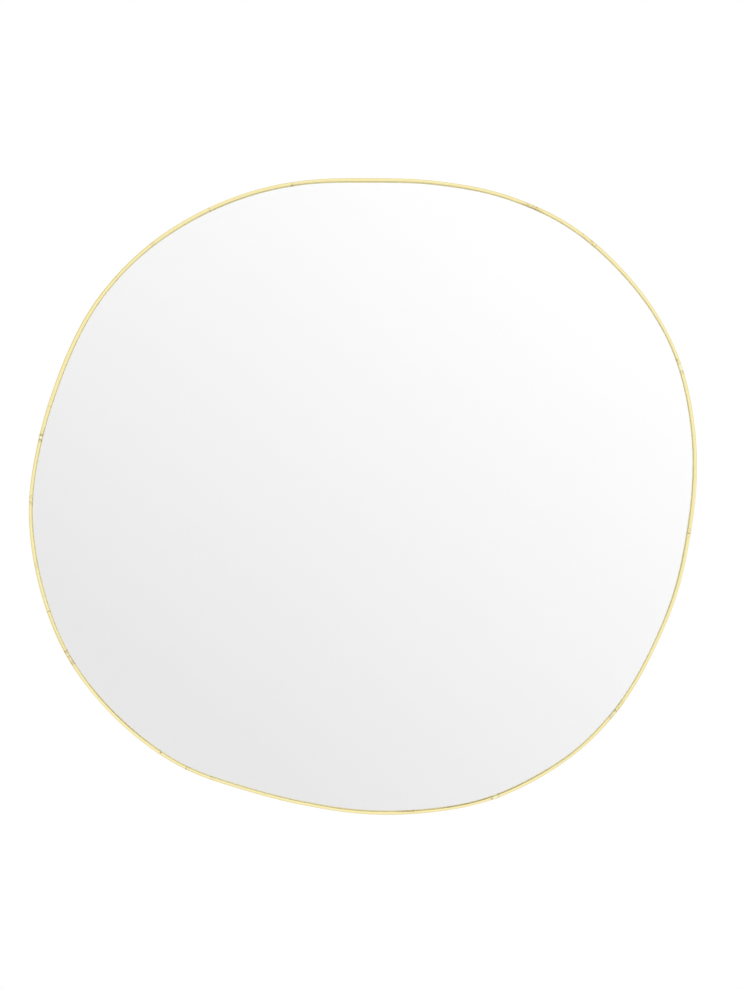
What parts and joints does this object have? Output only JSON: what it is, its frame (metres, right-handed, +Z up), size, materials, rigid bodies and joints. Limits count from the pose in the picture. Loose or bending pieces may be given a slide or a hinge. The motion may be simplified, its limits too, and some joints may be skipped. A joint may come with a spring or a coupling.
{
  "type": "wall mirror",
  "caption": "Wall mirror of soft irregular outline in a thin half-round brass rim, backed by a board with swinging ring hangers.",
  "frame": {"origin": "middle of the mirror on the wall plane, the plane of the wall bumpers' rear faces", "axes": "+X to the viewer's right across the mirror, +Y into the wall, +Z up; the glass faces -Y"},
  "size_m": [0.7994, 0.0236, 0.7623],
  "materials": {
    "brass": "pale brass, hand polished to a satin sheen",
    "brazing": "brazed joint, filed smooth and slightly duller than the strip",
    "zinc": "zinc-plated steel, bright",
    "fibreboard": "medium-density fibreboard, sanded, unpainted",
    "tape": "white foam mounting tape",
    "silver": "silvered back of the glass",
    "glass": "clear float glass with ground edges",
    "rubber": "moulded black rubber"
  },
  "bodies": {
    "mirror": {"rim_bead_1": "brass", "rim_band_1": "brass", "rim_knuckle_1": "brazing", "rim_bead_2": "brass", "rim_band_2": "brass", "rim_knuckle_2": "brazing", "rim_bead_3": "brass", "rim_band_3": "brass", "rim_knuckle_3": "brazing", "rim_bead_4": "brass", "rim_band_4": "brass", "rim_knuckle_4": "brazing", "rim_bead_5": "brass", "rim_band_5": "brass", "rim_knuckle_5": "brazing", "rim_bead_6": "brass", "rim_band_6": "brass", "rim_knuckle_6": "brazing", "rim_lug_1": "brass", "lug_screw_1": "zinc", "rim_lug_2": "brass", "lug_screw_2": "zinc", "rim_lug_3": "brass", "lug_screw_3": "zinc", "rim_lug_4": "brass", "lug_screw_4": "zinc", "rim_lug_5": "brass", "lug_screw_5": "zinc", "rim_lug_6": "brass", "lug_screw_6": "zinc", "rim_lug_7": "brass", "lug_screw_7": "zinc", "rim_lug_8": "brass", "lug_screw_8": "zinc", "left_hanger_strap": "zinc", "left_hanger_screw_1": "zinc", "left_hanger_screw_2": "zinc", "right_hanger_strap": "zinc", "right_hanger_screw_1": "zinc", "right_hanger_screw_2": "zinc", "glass_sheet": "glass", "silver_coating": "silver", "backing_board": "fibreboard", "mounting_tape_1": "tape", "mounting_tape_2": "tape", "mounting_tape_3": "tape", "mounting_tape_4": "tape", "mounting_tape_5": "tape", "wall_bumper_1": "rubber", "wall_bumper_2": "rubber", "wall_bumper_3": "rubber", "wall_bumper_4": "rubber"},
    "left_ring": {"left_hanger_ring": "zinc"},
    "right_ring": {"right_hanger_ring": "zinc"}
  },
  "joints": [
    {"name": "left_ring_swing", "type": "hinge", "parent": "mirror", "child": "left_ring", "pos_m": [-0.22, -0.00315, 0.18], "axis": [1, 0, 0], "range_deg": [0, 180]},
    {"name": "right_ring_swing", "type": "hinge", "parent": "mirror", "child": "right_ring", "pos_m": [0.22, -0.00315, 0.18], "axis": [1, 0, 0], "range_deg": [0, 180]}
  ]
}
